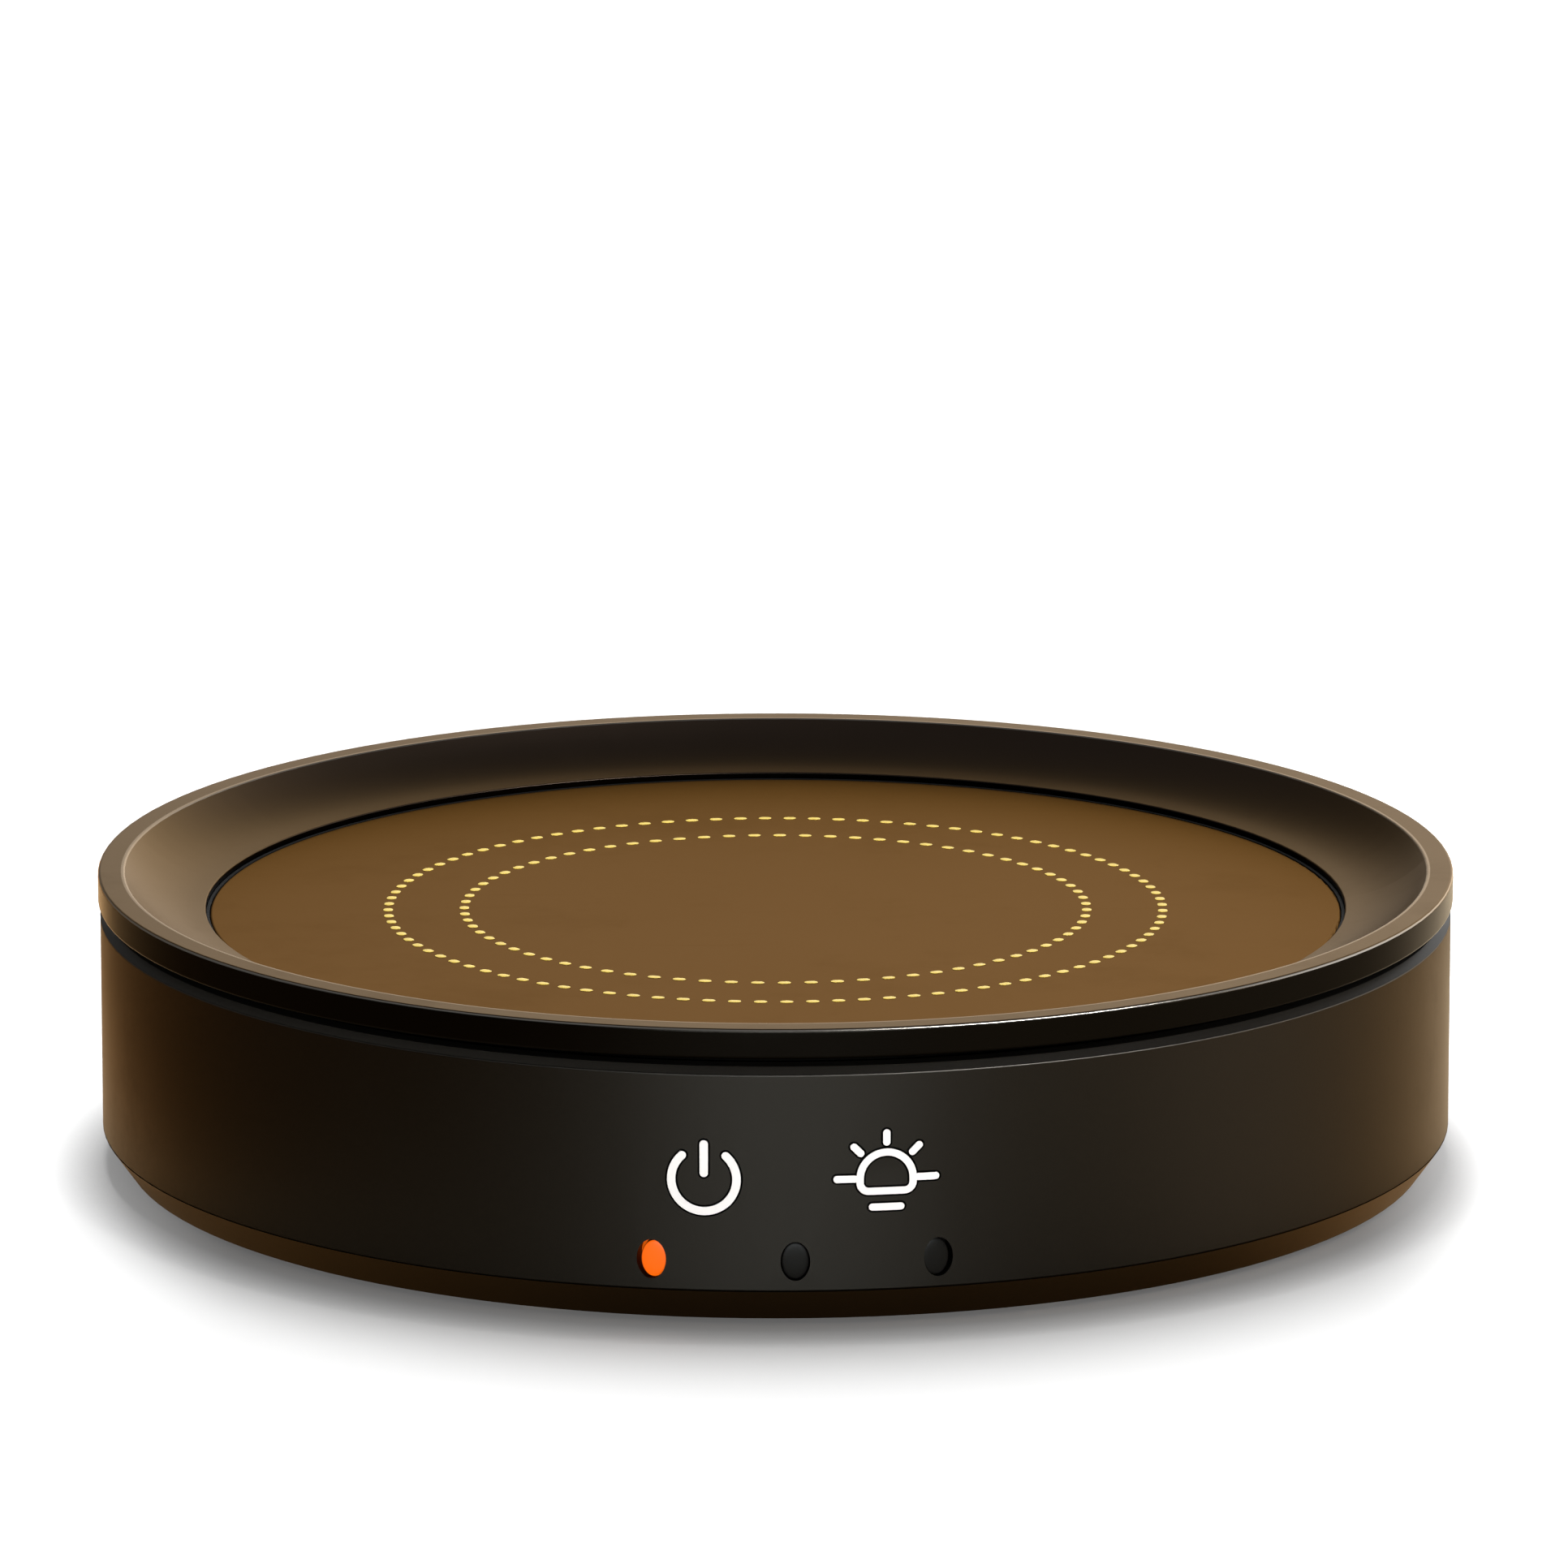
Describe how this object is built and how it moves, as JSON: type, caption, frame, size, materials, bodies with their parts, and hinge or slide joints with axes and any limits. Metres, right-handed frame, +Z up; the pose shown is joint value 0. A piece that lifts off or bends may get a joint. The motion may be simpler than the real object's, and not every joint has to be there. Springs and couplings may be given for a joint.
{
  "type": "electric mug warmer",
  "caption": "Round mug warmer: a dished heating plate on a sprung platform in a dark drum housing, with touch symbols and heat windows in front and a power socket behind.",
  "frame": {"origin": "middle of the footprint, on the surface that the feet stand on", "axes": "+Z up through the heating plate, -Y towards the front with the touch symbols, +Y towards the power socket, +X to the right"},
  "size_m": [0.13, 0.13, 0.0285],
  "materials": {
    "drum_plastic": "satin moulded espresso plastic",
    "rim_plastic": "satin gloss moulded bronze-brown plastic",
    "smoked_plastic": "smoked light-guide plastic",
    "plate_coating": "bronze-brown non-stick coating on aluminium",
    "white_ink": "white inlay",
    "amber_lens": "amber light guide, lit",
    "dark_lens": "smoked light guide, unlit",
    "foot_rubber": "matt rubber",
    "seal_silicone": "silicone",
    "steel": "zinc-plated steel",
    "spring_steel": "spring wire",
    "nickel": "nickel plate",
    "bearing_plastic": "natural acetal",
    "aluminium": "sheet, mill finish",
    "mica": "mica sheet",
    "insulation_felt": "pressed ceramic felt",
    "board_green": "circuit board",
    "chip_black": "moulded electronic package",
    "header_white": "nylon connector",
    "lamp_clear": "light-emitting diode",
    "wire_red": "silicone-insulated wire",
    "wire_grey": "insulated hook-up wire",
    "brass": "brass"
  },
  "bodies": {
    "base": {"base_cover": "drum_plastic", "board_screws": "steel", "capacitor": "aluminium", "control_board": "board_green", "control_chip": "chip_black", "cover_screws": "steel", "feet": "foot_rubber", "front_board": "board_green", "front_leads": "wire_grey", "guide_bushes": "bearing_plastic", "heater_leads": "wire_red", "heater_transistor": "chip_black", "high_heat_window": "dark_lens", "housing": "drum_plastic", "indicator_lamps": "lamp_clear", "lamp_symbol": "white_ink", "light_ring": "smoked_plastic", "low_heat_window": "amber_lens", "medium_heat_window": "dark_lens", "platform_springs": "spring_steel", "power_leads": "wire_red", "power_socket": "chip_black", "power_symbol": "white_ink", "ring_board": "board_green", "ring_lamps": "lamp_clear", "ring_leads": "wire_grey", "sensor_leads": "wire_grey", "socket_pin": "nickel", "socket_tabs": "brass", "switch_body": "chip_black", "touch_pads": "seal_silicone", "wire_headers": "header_white"},
    "platform": {"guide_screws": "steel", "heat_spreader": "aluminium", "heater": "mica", "heater_terminals": "brass", "heating_plate": "plate_coating", "insulation": "insulation_felt", "plate_seal": "seal_silicone", "retainer": "aluminium", "retainer_screws": "steel", "thermal_cutout": "aluminium", "thermistor": "chip_black", "tray": "rim_plastic"},
    "plunger": {"switch_plunger": "bearing_plastic"}
  },
  "joints": [
    {"name": "platform_press", "type": "slide", "parent": "base", "child": "platform", "axis": [0, 0, -1], "range_m": [0, 0.0006], "stiffness_N_per_m": 1500, "springref_m": -0.0018, "deforming": ["platform_springs", "heater_leads", "sensor_leads"]},
    {"name": "plunger_press", "type": "slide", "parent": "base", "child": "plunger", "axis": [0, 0, -1], "range_m": [0, 0.0006]}
  ],
  "couplings": [
    {"joint": "plunger_press", "follows": "platform_press", "ratio": 1}
  ]
}
